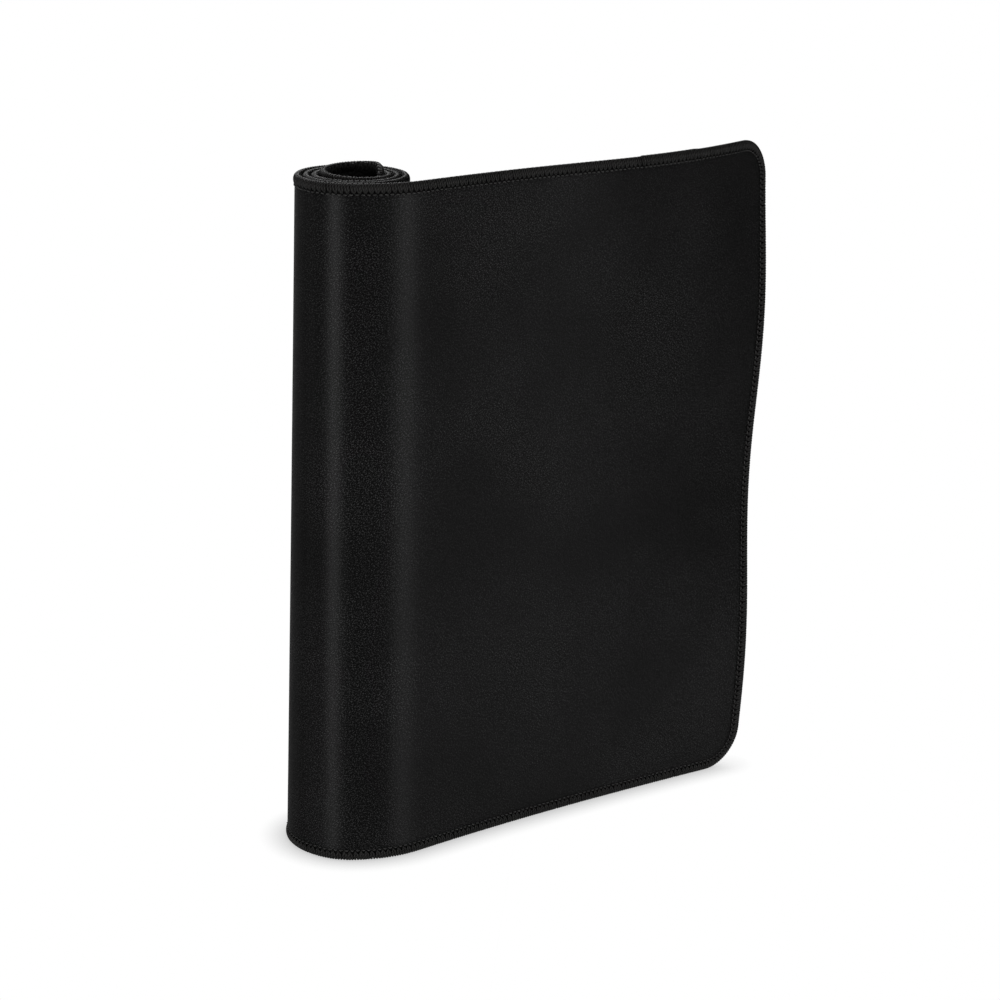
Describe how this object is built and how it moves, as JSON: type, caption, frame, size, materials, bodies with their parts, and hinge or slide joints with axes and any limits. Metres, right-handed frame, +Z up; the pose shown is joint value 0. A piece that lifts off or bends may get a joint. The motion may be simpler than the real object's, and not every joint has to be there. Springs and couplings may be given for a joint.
{
  "type": "desk pad",
  "caption": "Cloth-topped rubber desk pad with an overlocked edge and rounded corners, partly rolled up and standing on one long edge.",
  "frame": {"origin": "middle of the bounding box's base, on the surface that the pad stands on", "axes": "+Z up along the pad's width, +X along the free panel away from the roll, -Y out of the panel's cloth side"},
  "size_m": [0.3262, 0.1016, 0.4051],
  "materials": {
    "cloth": "fine satin-faced polyester weave, black",
    "rubber": "matt foamed rubber with a fine moulded grip texture",
    "looper_thread": "bulked polyester overlock thread, black",
    "needle_thread": "spun polyester sewing thread, black"
  },
  "bodies": {
    "root": {"cloth_top": "cloth", "rubber_base": "rubber", "upper_looper_thread": "looper_thread", "lower_looper_thread": "looper_thread", "needle_thread": "needle_thread"}
  },
  "joints": []
}
